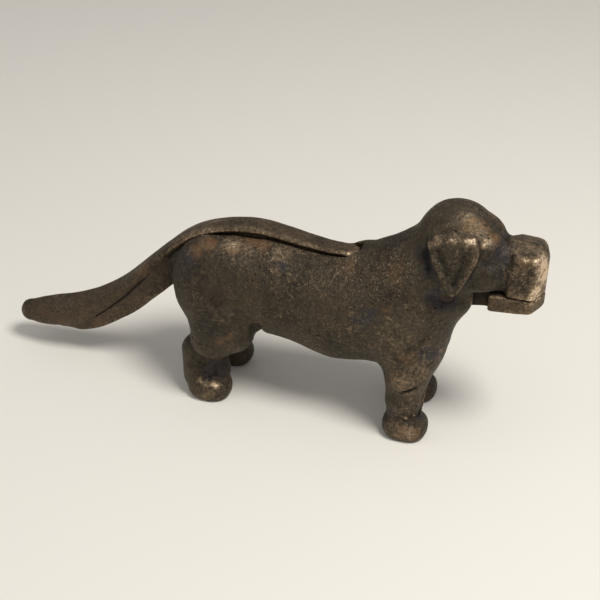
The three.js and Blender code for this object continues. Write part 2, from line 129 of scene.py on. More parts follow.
def sampled(flat_form, low, high, step=0.5):
    """The same distance in the XZ plane, read from a table made once."""
    xs, zs = (np.arange(a, b + step, step) for a, b in zip(low, high))
    table = flat_form(xs[:, None], zs[None, :])

    def distance(x, z):
        u = np.clip((x - xs[0]) / step, 0, len(xs) - 1.001)
        v = np.clip((z - zs[0]) / step, 0, len(zs) - 1.001)
        i, j = np.broadcast_arrays(np.floor(u).astype(int), np.floor(v).astype(int))
        u, v = u - i, v - j
        near = table[i, j] * (1 - u) + table[i + 1, j] * u
        far = table[i, j + 1] * (1 - u) + table[i + 1, j + 1] * u
        return near * (1 - v) + far * v

    return distance


def bar_along_y(at, radius):
    return lambda x, y, z: np.sqrt((x - at[0]) ** 2 + (z - at[1]) ** 2) - radius + 0 * y


def join(a, b, soft):
    """Both forms in one, with a fillet where they meet."""
    if np.all(soft == 0):
        return np.minimum(a, b)
    near = np.maximum(soft - np.abs(a - b), 0) / soft
    return np.minimum(a, b) - near * near * soft / 4


def cut(a, b, soft):
    """The first form with the second taken out of it, its edges softened."""
    return -join(-a, b, soft)


def sculpt(steps, x, y, z):
    """Adds and cuts forms in turn. A step is (softness, form), and a negative softness cuts."""
    d = steps[0][1](x, y, z)
    for soft, form in steps[1:]:
        d = cut(d, form(x, y, z), -soft) if soft < 0 else join(d, form(x, y, z), soft)
    return d


def smooth_line(points, per_span):
    """Points along a smooth curve through the given ones, with any number of values each."""
    p = np.asarray(points, float)
    ends = np.vstack([2 * p[0] - p[1], p, 2 * p[-1] - p[-2]])
    out = []
    for i in range(len(p) - 1):
        a, b, c, d = ends[i:i + 4]
        for t in np.arange(per_span) / per_span:
            out.append(0.5 * (2 * b + (c - a) * t + (2 * a - 5 * b + 4 * c - d) * t * t
                              + (3 * b - a - 3 * c + d) * t ** 3))
    return np.array(out + [p[-1]])


# The dog's trunk and legs
BODY = [
    (0, limb((-17, 0, 67.3), (8, 0, 66.2), (23.6, 25.2), 0.82)),  # loin
    (6, limb((12, 0, 64.2), (42, 0, 60.2), (26.8, 28.3), 0.78)),  # belly
    (6, limb((43, 0, 60.2), (68, 0, 62.6), (28.5, 30), 0.76)),  # ribs
    (8, lump((-15.5, 9.5, 63), (25.5, 15, 26), 2.2)),  # haunch
    (5, limb((-15.4, 14.4, 51), (-18.6, 17, 37.5), (16.8, 11.8))),  # thigh
    (2.5, lump((-9.6, 15.6, 41.5), (12.2, 9.4, 11.5), 2.1, 32)),  # knee
    (1.2, limb((-28.6, 14.4, 26), (-28.1, 15.6, 11), (8.4, 8.3))),  # shank
    (2.5, limb((-22.5, 11.4, 28), (-19.4, 11.2, 13), (7, 6.6))),  # instep
    (1.2, lump((-22.2, 16, 5.6), (11.5, 9.5, 7.7), 2.4)),  # hind paw
    (7, lump((85, 5.5, 50), (12, 12, 18), 2.2)),  # breast
    (8, limb((76, 12, 60), (81, 15.3, 36), (14, 10))),  # shoulder
    (4, limb((81, 15.3, 36), (80.3, 15.6, 21), (9.8, 9.2))),  # forearm
    (1.2, limb((80.4, 15.4, 21), (79.8, 15.6, 9), (8.6, 7.8))),  # wrist
    (1.3, lump((81.8, 16.1, 5.8), (11.3, 9.4, 8), 2.4)),  # fore paw
    (10, limb((64, 0, 71), (80, 0, 83.5), (21, 18.4), 0.95)),  # withers
    (6, limb((80, 0, 83.5), (91.5, 0, 96), (18.4, 16.8), 0.95)),  # neck
    (8, limb((80, 0, 67), (95, 0, 77.5), (18, 14), 0.9)),  # throat
]
# Folds and lines worked into the trunk and legs
BODY_DETAIL = [
    (-1, limb((81.2, 26.1, 31.6), (87.4, 23.9, 34.4), (1.1, 1))),  # fold above the wrist
    (-2.5, limb((4.6, 19.5, 49.5), (4.8, 13, 41.9), (2.3, 2))),  # groin
    (-2, limb((4.8, 13, 41.9), (5, 4, 38), (2, 0.6))),  # groin, inner part
    (-2.2, limb((92.5, 18.6, 62.5), (84.5, 24.8, 56.5), (1, 1.2))),  # folds at the shoulder
    (-2.4, limb((84, 25, 57), (95, 17, 51), (0.8, 0.7))),
    (0.5, limb((91.4, 16.5, 34), (89.2, 16.5, 14), (0.5, 0.4))),  # ridge down the foreleg
    (0.5, lump((83.4, 23.1, 14.8), (0.9, 0.8, 0.7), 2)),  # two nibs above the paw
    (0.5, lump((86.8, 21.1, 16.2), (0.8, 0.7, 0.7), 2)),
    (6, limb((56, 0, 86.4), (65, 0, 87), (8.2, 8.6))),  # back before the slot
    (6, limb((69, 0, 90.8), (79, 0, 98.3), (8.2, 7.6))),  # nape
    (-1.2, lump((-13.1, 30, 65.8), (5.5, 5.5, 5.5), 2)),  # dimple over the haunch rivet
]
# The head and what is worked into it
HEAD = [
    (0, lump((97.4, 0, 105.2), (18.2, 14.9, 19.6), 2.1)),  # skull
    (5, lump((109.8, 6.6, 105.8), (8.8, 6.4, 7.6), 2.2)),  # brow
    (5, lump((107, 7.5, 95.5), (15, 9, 10), 2.3)),  # cheek
    (3, lump((120, 0, 97), (15.5, 10.3, 12.3), 3)),  # core of the muzzle
]
# The muzzle is a block with flat faces that stands a little proud of the cheeks
MUZZLE = facets([
    ((0, 1, 0), 11.4), ((0.08, 0.24, 1), 120.2), ((0.9, 0.42, 0), 126.3), ((1, 0, 0), 139.6),
    ((0.75, 0, 0.66), 173.9), ((-0.87, 0.4, 0.05), -98.6), ((0, 0, -1), -84),
], 1.5)
HEAD_DETAIL = [
    (1, MUZZLE),
    (3.5, lump((108.6, 5, 108.8), (8.6, 6.6, 8), 2.1)),  # forehead
    (2, limb((108.6, 10.4, 109.2), (113.8, 8.8, 108.6), (2.2, 2))),  # eyebrow
    (-2, lump((115, 15.6, 103.6), (4, 2.9, 3), 2)),  # eye
    (-2.6, limb((120.8, 9.8, 113), (119.4, 14.6, 97), (1.8, 2.2))),  # hollow behind the muzzle
    (-1, limb((138.8, 4.4, 99.4), (137.6, 6.6, 96.6), (0.9, 0.7))),  # nostril
    (-0.8, limb((140.5, 0, 103), (139.9, 0, 88), (0.7, 0.6))),  # line below the nose
    (-3, limb((91, 18.3, 80.8), (105.8, 13.4, 79.6), (2.9, 2.5))),  # hollow below the cheek
    (-1.6, limb((84.2, 12.6, 109.6), (87.6, 16.6, 97.5), (1.4, 1.6))),  # hollow behind the ear
]
# The hollow inside the trunk
CORE = [
    (0, limb((-21, 0, 67), (25, 0, 64.5), (24.3, 27), 0.95)),
    (5.4, limb((25, 0, 64.5), (70, 0, 64.5), (27, 27), 0.95)),
]

# The ear: its outline, fold height, middle plane at the fold, and lean outwards for each millimetre down
EAR_OUTLINE = smooth_line([(86.3, 110.2), (96.4, 113.8), (107.3, 114), (110, 107.3), (106.5, 97.5),
                           (101.1, 88.5), (95.8, 92.3), (90, 101), (86.3, 110.2)], 6)[:-1]
EAR_TOP, EAR_FOLD, EAR_LEAN, EAR_HALF = 113.5, 13, 0.28, 1.5
EAR_EDGE = 1.2
EAR_GROOVES = [((91.8, 107), (97, 97.5), 1.8, 0.9), ((103.6, 106), (100.4, 94), 1.9, 1.15)]
EAR_ROLL = limb((90.6, 13.2, 111.7), (106.2, 13.2, 113), (2, 2.2))


def ear(x, y, z):
    flat = outline_distance(EAR_OUTLINE, x, z)
    swell = 0.35 * np.exp(-((flat + 2.2) / 1.5) ** 2)
    for (ax, az), (bx, bz), wide, deep in EAR_GROOVES:
        t = ((x - ax) * (bx - ax) + (z - az) * (bz - az)) / ((bx - ax) ** 2 + (bz - az) ** 2)
        t = np.clip(t, 0, 1)
        off2 = (x - ax - t * (bx - ax)) ** 2 + (z - az - t * (bz - az)) ** 2
        swell = swell - deep * np.exp(-off2 / (wide * wide))
    out = y - EAR_FOLD - EAR_LEAN * (EAR_TOP - z)
    thick = np.maximum(out - swell, -out) - EAR_HALF
    flat, thick = flat + EAR_EDGE, thick + 0 * flat
    leaf = np.sqrt(np.maximum(flat, 0) ** 2 + np.maximum(thick, 0) ** 2) - EAR_EDGE
    leaf = leaf + np.minimum(np.maximum(flat, thick), 0)
    return join(leaf, EAR_ROLL(x, y, z), 1.5)


# The strap from the tip of the tail to its front end: X, Z, half width and half thickness
STRAP = smooth_line([
    (-132.6, 19.5, 6.6, 6), (-125.5, 20.7, 8, 7.6), (-116, 23, 8.8, 8.6), (-105, 26.3, 8.9, 8.7),
    (-94, 31.7, 8.6, 7.8), (-84, 38.7, 8.2, 6.2), (-74, 47, 7.8, 4.9), (-66, 55.1, 7.4, 3.9),
    (-57, 64.8, 7.1, 3.1), (-47, 74.7, 6.9, 2.7), (-36, 84.1, 6.8, 2.5), (-25, 90, 6.8, 2.3),
    (-12, 93.8, 6.7, 2.2), (1, 95.2, 6.6, 2.2), (14, 93.8, 6.4, 2.1), (25, 92, 6.1, 1.8),
    (36, 90.6, 5.9, 1.6), (46, 90.1, 5.7, 1.5),
], 8)
# Outline of the lever's plate, below and above, where it meets the strap, and of the arm to the jaw
WEB_LOW = [
    (-112, 16.9), (-104, 15.1), (-96, 17.2), (-86, 21.8), (-75, 29), (-66, 35.6), (-55, 46.3),
    (-45, 55.3), (-35, 63.5), (-22, 71), (0, 74), (22, 71.5), (40, 64), (52, 56), (60, 53.5), (72, 57),
    (86, 67), (97, 74),
]
WEB_TOP = [(97, 90), (88, 86), (76, 74), (64, 66), (58, 61.5), (53.4, 63), (51.2, 72)]
WEB_FRONT = (50.2, 90)
ARM = [(97, 74), (107.5, 73.6), (120, 75.6), (120, 84.2), (107.5, 85.6), (97, 89.2)]
JAW = facets([
    ((0, 1, 0), 10.9), ((0.894, 0.455, 0), 125.5), ((1, 0, 0), 139.8), ((-1, 0, 0), -115.2),
    ((0.1, 0, -1), -64.3), ((0, 0.5, -0.87), -60.8), ((0, 0, 1), 87),
], 1.6)
EYE_RADIUS = 9.5
# The hollow for the nut lies half in the palate and half in the jaw, with ridges across its two floors
NUT_Z = 85.4
NUT_HOLLOW = lump((125.75, 0, NUT_Z), (8.9, 7.6, 4), 2)
NUT_RIDGES = [121.3, 125.7, 130.2]
RIDGE_FROM, RIDGE_SLOPE = 2.9, 0.75
FAR_INSIDE = -9

under_strap = STRAP[(STRAP[:, 0] > -111.8) & (STRAP[:, 0] < 50.2)][::-8, :2]
WEB_OUTLINE = np.array(list(smooth_line(WEB_LOW, 3)) + list(smooth_line(WEB_TOP, 3)) + [WEB_FRONT]
                       + list(under_strap))


def turned(points, angle):
    """Points of the XZ plane carried by the lever when it lifts by an angle."""
    dx, dz = points[:, 0] - PIVOT[0], points[:, 1] - PIVOT[2]
    cos, sin = math.cos(angle), math.sin(angle)
    return np.column_stack([PIVOT[0] + cos * dx + sin * dz, PIVOT[2] + cos * dz - sin * dx])


# The strap's line has a point about every 1.6 mm. It is a round bar up to one of them, and over the next
# few it turns into a flat bar with bevelled edges.
LINE_STEP, LINE_REACH = 1.6, 1.5
ROUND_UNTIL, TURNS_OVER = 52, 24
BAR_POWER = 2.3
BEVEL, BEVEL_SOFT, DIAGONAL = 1.4, 0.35, 0.7071
# Points that are compared with the line at one time
BATCH = 20000


def strap(grow=0.0, run=0.0, ridge=0.0):
    """The strap, made larger all round by grow and longer at the front by run, with a low roof ridge."""
    line = STRAP[:, :2]
    along = np.gradient(line, axis=0)
    along /= np.linalg.norm(along, axis=1)[:, None]
    power = BAR_POWER

    def distance(x, y, z):
        shape = np.broadcast(x, z).shape
        px, pz = np.broadcast_to(x, shape).ravel(), np.broadcast_to(z, shape).ravel()
        nearest = np.empty(px.size, int)
        for first in range(0, px.size, BATCH):
            part = slice(first, first + BATCH)
            gaps = (px[part, None] - line[:, 0]) ** 2 + (pz[part, None] - line[:, 1]) ** 2
            nearest[part] = gaps.argmin(1)
        tx, tz = along[nearest, 0], along[nearest, 1]
        ox, oz = px - line[nearest, 0], pz - line[nearest, 1]
        ahead, up = ox * tx + oz * tz, oz * tx - ox * tz
        step = np.clip(ahead, -LINE_REACH, LINE_REACH) * (nearest > 0) * (nearest < len(line) - 1)
        place = nearest + step / LINE_STEP
        width = np.interp(place, np.arange(len(line)), STRAP[:, 2]) + grow
        thick = np.interp(place, np.arange(len(line)), STRAP[:, 3]) + grow
        end = np.where(nearest == 0, np.minimum(ahead, 0), 0)
        end = np.where(nearest == len(line) - 1, np.maximum(ahead - run, 0), end)
        width, thick, up, end = (value.reshape(shape) for value in (width, thick, up, end))
        across = np.abs(y) / width + 1e-9
        roof = 1 - ridge * np.minimum(across, 1) * (up > 0)
        high = np.abs(up) / (thick * roof) + 1e-9
        out = np.abs(end) / width + 1e-9
        size = (across ** power + high ** power + out ** power) ** (1 / power)
        steep = (across ** (power - 1) / width) ** 2 + (high ** (power - 1) / thick) ** 2
        steep = np.sqrt(steep + (out ** (power - 1) / width) ** 2) / size ** (power - 1)
        bar = (size - 1) / np.maximum(steep, 1e-6)
        side = np.sqrt(y * y + end * end) - width
        level = np.abs(up) - thick * (1 - ridge * across)
        flat = cut(np.maximum(side, level), -(side + level + BEVEL) * DIAGONAL, BEVEL_SOFT)
        share = np.clip((nearest.reshape(shape) - ROUND_UNTIL) / TURNS_OVER, 0, 1)
        return bar + (flat - bar) * share

    return distance


# How far the lever's plate and arm reach in the XZ plane through the whole swing
SWEEP_STEPS = 7
SWEPT = [turned(outline, OPEN_ANGLE * step / (SWEEP_STEPS - 1))
         for step in range(SWEEP_STEPS) for outline in (WEB_OUTLINE, np.array(ARM, float))]
strap_room = strap(STRAP_GAP, SLOT_RUN)


def swept_reach(x, z):
    reach = np.sqrt((x - PIVOT[0]) ** 2 + (z - PIVOT[2]) ** 2) - EYE_RADIUS
    for outline in SWEPT:
        reach = np.minimum(reach, outline_distance(outline, x, z))
    return reach


sampled_reach = sampled(swept_reach, (-46, -4), (146, 128))
sampled_plate = sampled(lambda x, z: outline_distance(WEB_OUTLINE, x, z), (-146, 4), (146, 104))
sampled_arm = sampled(lambda x, z: outline_distance(np.array(ARM, float), x, z), (86, 60), (146, 100))


def lever_room(x, y, z):
    return np.maximum(sampled_reach(x, z) - WEB_CLEAR, np.abs(y) - WEB_HALF - WEB_CLEAR)


def nut_hollow(x, y, z):
    d = NUT_HOLLOW(x, y, z)
    for ridge_x in NUT_RIDGES:
        depth = np.abs(z - NUT_Z)
        tooth = RIDGE_SLOPE * (depth - RIDGE_FROM) - RIDGE_SLOPE * np.abs(x - ridge_x)
        d = np.maximum(d, np.where(depth > RIDGE_FROM, tooth, FAR_INSIDE) + 0 * y)
    return d


# A slow unevenness that hand finishing of the pattern leaves in the castings
rng = np.random.default_rng(11)
TURN = 6.28
WAVES = [(rng.normal(0, 1, 3) * pace, rng.uniform(0, TURN), size)
         for number, pace, size in ((7, 0.3, 0.035), (9, 0.9, 0.012)) for _ in range(number)]


def unevenness(x, y, z):
    return sum(size * np.sin(k[0] * x + k[1] * y + k[2] * z + start) for k, start, size in WAVES)


HAUNCH_RIVET, FLANK_RIVET = (-13.1, 64), (36.0, 55.6)
POST_RADIUS = 6
PIN_RADIUS, RIVET_RADIUS = 3.0, 2.5
PINS = ((PIVOT[::2], PIN_RADIUS), (HAUNCH_RIVET, RIVET_RADIUS), (FLANK_RIVET, RIVET_RADIUS))
BORE_CLEAR, BORE_SOFT = 0.03, 0.15
# A pin's shank ends below the surface, under a rim as wide as this beyond the shank
SHANK_SHORT, RIM, RIM_HALF_DEPTH, RIM_SOFT = 0.3, 0.35, 0.45, 0.3
SQUEEZE_FROM, HAUNCH_SQUEEZE = 24, 0.055


def dog_form(x, y, z):
    """The dog's outside, with both halves alike, drawn in a little where the haunches are widest."""
    y = np.abs(y)
    y = y + HAUNCH_SQUEEZE * np.maximum(y - SQUEEZE_FROM, 0) ** 2
    outer = join(sculpt(BODY, x, y, z), sculpt(HEAD, x, y, z), 6)
    outer = sculpt([(0, lambda *_: outer)] + BODY_DETAIL + HEAD_DETAIL, x, y, z)
    outer = join(outer, ear(x, y, z), 1) + unevenness(x, y, z)
    return np.maximum(outer, -z)


def unbored_body_form(x, y, z):
    """The body with its hollow, slot, seat and mouth, before it is parted along the seam."""
    outer = dog_form(x, y, z)
    y = np.abs(y)
    shell = np.maximum(outer, -np.maximum(outer + WALL, sculpt(CORE, x, y, z)))
    for rivet in (HAUNCH_RIVET, FLANK_RIVET):
        shell = np.minimum(shell, np.maximum(bar_along_y(rivet, POST_RADIUS)(x, y, z), outer))
    shell = cut(shell, lever_room(x, y, z), 0.9)
    shell = cut(shell, strap_room(x, y, z), 0.8)
    shell = cut(shell, np.maximum(z - LIP_Z, MOUTH_X - x) + 0 * y, 0.9)
    return cut(shell, nut_hollow(x, y, z), 0.3)


def whole_body_form(x, y, z):
    """The body with the bores for its pins."""
    shell = unbored_body_form(x, y, z)
    for centre, radius in PINS:
        shell = cut(shell, bar_along_y(centre, radius + BORE_CLEAR)(x, y, z), BORE_SOFT)
    return shell


def body_form(x, y, z):
    """One body casting, on the +Y side of the seam."""
    return np.maximum(whole_body_form(x, y, z), SEAM_HALF_GAP - y)


def pin_form(centre, radius, sunk):
    """A pin dressed off just below the casting's surface, whose shape its ends follow."""
    def form(x, y, z):
        outside = dog_form(x, y, z)
        shank = np.maximum(bar_along_y(centre, radius)(x, y, z), outside + SHANK_SHORT)
        level = RIM_HALF_DEPTH - np.abs(outside + RIM_HALF_DEPTH + sunk)
        rim = cut(bar_along_y(centre, radius + RIM)(x, y, z), level, RIM_SOFT)
        return np.minimum(shank, rim)

    return form


strap_solid = strap(ridge=0.3)
# Half thickness of the lever's plate along X: it fills out to the strap's width behind the haunch
PLATE_HALF = [(-106, 5.2), (-92, 6.2), (-66, 5.4), (-56, 6.5), (-50, 6.2), (-45.5, WEB_HALF)]
# The thin line left between the underside of the tail's bar and its plate
CREASE = [
    (-92.8, 6.5, 26), (-90.5, 6.4, 27.8), (-81.3, 6.1, 35.3), (-71.5, 5.8, 44.4), (-63.7, 5.8, 53),
    (-59, 6.4, 58), (-56, 6.8, 61.3),
]
CREASE_RADII = [0.2, 0.4, 0.5, 0.52, 0.45, 0.35, 0.2]
# How softly the strap and the plate run into each other along X
MELT = [(-112, 3), (-94, 1.2), (-64, 0.9), (-55, 2.5), (-46, 1.2)]
ARM_FROM = 92
PIVOT_BORE = 3.3
EVENNESS = 0.4


def along_x(table, x, z):
    """A table's value at each X, for all points of the XZ plane."""
    return np.interp(np.broadcast_to(x, np.broadcast(x, z).shape), *np.array(table).T)


def lever_form(x, y, z):
    """The one-piece lever casting."""
    half = along_x(PLATE_HALF, x, z)
    plate = cut(sampled_plate(x, z), half - np.abs(y), 1)
    arm = cut(sampled_arm(x, z) + 0 * y, WEB_HALF - np.abs(y), 1)
    arm = np.maximum(arm, ARM_FROM - x)
    eye = np.maximum(bar_along_y(PIVOT[::2], EYE_RADIUS)(x, y, z), np.abs(y) - WEB_HALF)
    jaw = cut(JAW(x, np.abs(y), z), JAW_TOP_Z - z, 1.1)
    d = join(strap_solid(x, y, z), join(plate, eye, 1), along_x(MELT, x, z))
    d = join(d, join(arm, jaw, 2.5), 1.5) + EVENNESS * unevenness(x, y, z)
    for start, end, *radii in zip(CREASE, CREASE[1:], CREASE_RADII, CREASE_RADII[1:]):
        d = cut(d, limb(start, end, radii)(x, np.abs(y), z), 0.3)
    d = cut(d, nut_hollow(x, y, z), 0.3)
    return cut(d, bar_along_y(PIVOT[::2], PIVOT_BORE)(x, y, z), 0.5)


# Skinning

def skin(form, xs, ys, zs):
    """Vertices and quads of a form's surface: one vertex in each grid cell that it passes through."""
    grid = [np.asarray(values, float) for values in (xs, ys, zs)]
    d = form(grid[0][:, None, None], grid[1][None, :, None], grid[2][None, None, :])
    inside = d < 0
    cells = tuple(n - 1 for n in d.shape)
    total = np.zeros(cells + (3,))
    hits = np.zeros(cells)
    crossings = []
    for axis in range(3):
        low = [slice(None)] * 3
        high = [slice(None)] * 3
        low[axis], high[axis] = slice(0, -1), slice(1, None)
        a, b = d[tuple(low)], d[tuple(high)]
        at = np.argwhere(inside[tuple(low)] != inside[tuple(high)])
        va, vb = a[tuple(at.T)], b[tuple(at.T)]
        share = va / (va - vb)
        point = np.stack([grid[n][at[:, n]] for n in range(3)], 1)
        point[:, axis] += share * (grid[axis][at[:, axis] + 1] - grid[axis][at[:, axis]])
        u, v = (axis + 1) % 3, (axis + 2) % 3
        keep = (at[:, u] > 0) & (at[:, v] > 0) & (at[:, u] < cells[u]) & (at[:, v] < cells[v])
        at, point = at[keep], point[keep]
        around = []
        for du, dv in ((1, 1), (0, 1), (0, 0), (1, 0)):
            cell = at.copy()
            cell[:, u] -= du
            cell[:, v] -= dv
            flat = np.ravel_multi_index(cell.T, cells)
            around.append(flat)
            for n in range(3):
                total[..., n] += np.bincount(flat, point[:, n], hits.size).reshape(cells)
            hits += np.bincount(flat, minlength=hits.size).reshape(cells)
        quad = np.stack(around, 1)
        flip = ~inside[tuple(at.T)]
        quad[flip] = quad[flip][:, ::-1]
        crossings.append(quad)
    used = hits.ravel() > 0
    index = np.cumsum(used) - 1
    points = total.reshape(-1, 3)[used] / hits.ravel()[used, None]
    return points, index[np.concatenate(crossings)]


def neighbour_mean(points, quads):
    pairs = np.concatenate([quads[:, [0, 1]], quads[:, [1, 2]], quads[:, [2, 3]], quads[:, [3, 0]]])
    pairs = np.concatenate([pairs, pairs[:, ::-1]])
    count = np.bincount(pairs[:, 0], minlength=len(points))
    mean = [np.bincount(pairs[:, 0], points[pairs[:, 1], n], len(points)) for n in range(3)]
    return np.stack(mean, 1) / count[:, None]


def slope(form, points, step=0.05):
    x, y, z = points.T
    here = form(x, y, z)
    rise = np.stack([form(x + step, y, z), form(x, y + step, z), form(x, y, z + step)], 1)
    return here, (rise - here[:, None]) / step


EVEN_OUT, LONGEST_MOVE, LEAST_SLOPE = 0.6, 0.8, 0.25


def settle(form, points, quads, rounds=2):
    """Evens out the vertices, then draws them onto the surface."""
    for _ in range(rounds):
        points = points + EVEN_OUT * (neighbour_mean(points, quads) - points)
        for _ in range(2):
            here, rise = slope(form, points)
            steep = np.maximum((rise ** 2).sum(1), LEAST_SLOPE)
            move = np.clip(here, -LONGEST_MOVE, LONGEST_MOVE) / steep
            points = points - move[:, None] * rise
    return points


# Towards the faces and corners of a cube
DIRECTIONS = [way for way in itertools.product((-1, 0, 1), repeat=3) if sum(map(abs, way)) in (1, 3)]
EDGE_REACH, SWELL_REACH = 1.6, 4.5


def roundness(form, points, reach):
    """How convex the surface is on average at a reach: edges above zero, hollows below, flats near it."""
    x, y, z = points.T
    total = 0
    for way in DIRECTIONS:
        k = reach / math.sqrt(sum(map(abs, way)))
        total = total + form(x + k * way[0], y + k * way[1], z + k * way[2])
    return total / len(DIRECTIONS) / reach


# Spots of the finish, each with its place, reach and strength. The first list: rubbed through to the metal,
# and painted highlights where faces catch the light. Copper: stained by age. The purple list: a stain, and
# painted bluish shade in hollows and under overhangs. Sandy: the mould's coarsest skin. The last list:
# painted shade in recesses, with some dark grime.
BODY_SPOTS = {
    # Rubbed through to the metal. The broad spots on the crown, brow, muzzle top and front and the foreleg
    # are also painted highlights where those faces catch the light
    "wear_and_highlight": [
        ((-28.8, 14.5, 85.6), 5, 0.3), ((-22.5, 13.5, 88.5), 5, 0.4), ((-7.8, 10.7, 90), 6, 0.7),
        ((-0.2, 10.4, 89.7), 5, 0.5), ((6.2, 11.2, 89), 5, 0.4), ((20, 10.4, 87.9), 5, 0.25),
        ((48, 12, 88), 9, 0.3), ((15, 12, 87.8), 5, 0.4), ((18.7, 12.4, 86.6), 3, 0.4),
        ((15, 16.5, 82.7), 2.6, 0.45), ((22.6, 15.3, 82.3), 2.6, 0.4), ((72, 15.5, 93), 10, 0.25),
        ((91, 14.5, 112.5), 2.6, 0.6), ((98, 14.5, 113.5), 3, 0.85), ((105, 14.5, 113.5), 3.3, 0.95),
        ((112, 12, 112), 3.4, 1.15), ((116, 9, 112), 3.5, 0.5), ((104, 8, 118), 14, 0.34),
        ((123.3, 8.8, 109.2), 3, 0.6), ((130, 10.9, 106.4), 2.8, 0.8), ((134.6, 10.3, 106.4), 3, 1.1),
        ((131, 4, 110), 10, 0.5), ((125.3, 11.2, 100), 3.2, 0.5), ((125.6, 11.2, 91), 3.6, 0.6),
        ((129, 11.2, 87.6), 2.6, 0.7), ((135.6, 9.6, 96), 2.6, 0.6), ((137.5, 6.5, 103), 6, 1.4),
        ((138.5, 4, 97), 8, 1.4), ((136.5, 8.5, 90), 6, 1.35), ((86.4, 24.5, 7.2), 4.5, 0.7),
        ((83.4, 23.5, 15.2), 1.3, 1), ((86.8, 21.4, 16.6), 1.3, 1), ((-24.6, 23.2, 12.2), 2, 1),
        ((-21.6, 23.6, 10.6), 2.2, 1.1), ((-17, 22.8, 10.8), 2.4, 1.1), ((-19, 24.6, 7), 4, 0.5),
        ((92, 21, 46), 12, 0.44), ((84, 25, 38), 14, 0.42), ((82, 24, 20), 9, 0.42),
        ((80, 24, 8), 10, 0.46), ((129, 11.4, 97), 9, 0.42), ((-20, 22, 8), 12, 0.2),
        ((130, 3, 112), 14, 0.42), ((96.3, 13.4, 51), 2, 0.8), ((89.5, 17, 24), 5, 0.4),
    ],
    "copper": [
        ((-26, 16.5, 85.4), 5, 0.9), ((-20.3, 13.2, 89.2), 5, 0.9), ((-8, 12.8, 89), 5.5, 0.6),
        ((0.6, 6, 91), 6, 0.9), ((5.5, 8, 90.5), 5, 0.8), ((116, 8, 113), 4, 0.9),
        ((104, 10.5, 118), 8, 0.5), ((110, 7, 117.5), 6, 0.5), ((84, 24.4, 51.5), 7, 0.5),
        ((79, 25.7, 40.3), 8, 0.35), ((84, 25.3, 7.5), 4, 1), ((87.8, 24.5, 6.8), 4, 1),
        ((50, 10.5, 88.8), 7, 0.5), ((72, 15.5, 93), 9, 0.5), ((130, 11, 106), 4, 0.7),
        ((138, 6, 103), 6, 0.5), ((-6, 25, 41), 8, 0.35), ((-18, 24.5, 7), 6, 0.4),
        ((45, 26, 60), 12, 0.3),
    ],
    # A purple stain, and painted bluish shade: before the eye, under and behind the ear and cheek, and on
    # the instep under the thigh
    "plum_and_shade": [
        ((119.5, 8.8, 108.5), 6, 1), ((118, 12, 101), 5, 0.6), ((-19, 18, 18), 6, 1),
        ((-15.2, 16, 16), 5, 0.9), ((90.2, 19, 52.8), 6, 0.9), ((95.3, 14, 50.5), 5, 0.9),
        ((97, 13.4, 79.3), 6, 1), ((92, 15.5, 83), 6, 1), ((77, 23.8, 17.5), 5, 0.7),
        ((89, 15.7, 12.6), 4, 0.7), ((88.5, 15.6, 96.4), 6, 0.7), ((83, 13, 103), 6, 0.6),
        ((-29, 17.5, 82), 7, 0.7), ((17.8, 14.8, 84.8), 3.5, 0.9), ((60, 26, 68), 10, 0.6),
        ((94, 8, 60), 10, 0.4),
    ],
    "sandy": [
        ((48, 13, 86), 18, 1), ((70, 16, 91), 15, 1), ((15, 15, 83), 12, 0.8), ((126, 11, 98), 9, 0.9),
        ((99, 15, 103), 9, 0.6), ((85, 20, 70), 16, 0.6), ((40, 26, 50), 22, 0.7),
    ],
    # Painted shade in recesses and under overhangs: under the ear and behind it, the slot's notch, the
    # groin, the instep and the muzzle's hollows, with some dark grime
    "soot_and_shade": [
        ((98, 13.4, 79.5), 5, 0.8), ((84.5, 13.6, 102), 4, 0.8), ((88.5, 16, 95), 4, 0.6),
        ((54, 3, 93), 4, 0.7), ((-17, 14, 19), 5, 0.6), ((-18, 20, 70), 17, 0.14),
        ((-13.1, 25.3, 65), 3, 0.4), ((102.4, 18, 100.5), 2.6, 0.12), ((93.5, 18, 103), 2.2, 0.1),
        ((108.5, 13, 106), 1.8, 0.5), ((120.5, 9.5, 97), 3, 0.5), ((2, 20, 44), 5, 0.5),
        ((124, 11, 107), 1.6, 0.8),
    ],
}
LEVER_SPOTS = {
    # Rubbed through to the metal, and painted highlights on the strap's front end, its top and the jaw's
    # front
    "wear_and_highlight": [
        ((50.3, 5, 90.5), 3.4, 0.85), ((-2, 0, 97), 22, 0.3), ((-26, 4, 90), 15, 0.5),
        ((-120, 0, 29), 14, 0.2), ((137, 7, 82), 5, 0.7), ((134, 10.5, 83.5), 3.5, 0.5),
        ((125, 10.9, 80), 10, 0.4),
    ],
    "copper": [
        ((-62, 6, 64), 9, 0.8), ((-90, 7, 24), 8, 0.6), ((-108, 7, 18), 9, 0.6),
        ((-30, 4, 88), 14, 0.4),
    ],
    "sandy": [
        ((-95, 6, 28), 26, 0.7), ((-62, 6, 58), 16, 0.7), ((128, 11, 80), 9, 0.6),
    ],
    # Painted shade on the arm in the throat under the jaw and where the strap meets the plate, with some
    # dark grime
    "soot_and_shade": [
        ((109, 4, 79.5), 8, 1.1), ((-52, 6, 66), 7, 0.4), ((-122, 8, 18), 12, 0.15),
    ],
}


def painted(points, spots):
    """How strongly the spots mark each vertex, on both sides of the dog alike."""
    x, y, z = points.T
    total = np.zeros(len(points))
    for (cx, cy, cz), reach, strength in spots:
        gap2 = (x - cx) ** 2 + (np.abs(y) - cy) ** 2 + (z - cz) ** 2
        total = np.maximum(total, strength * np.exp(-gap2 / (reach * reach)))
    return total


SHARP_FROM = math.radians(55)


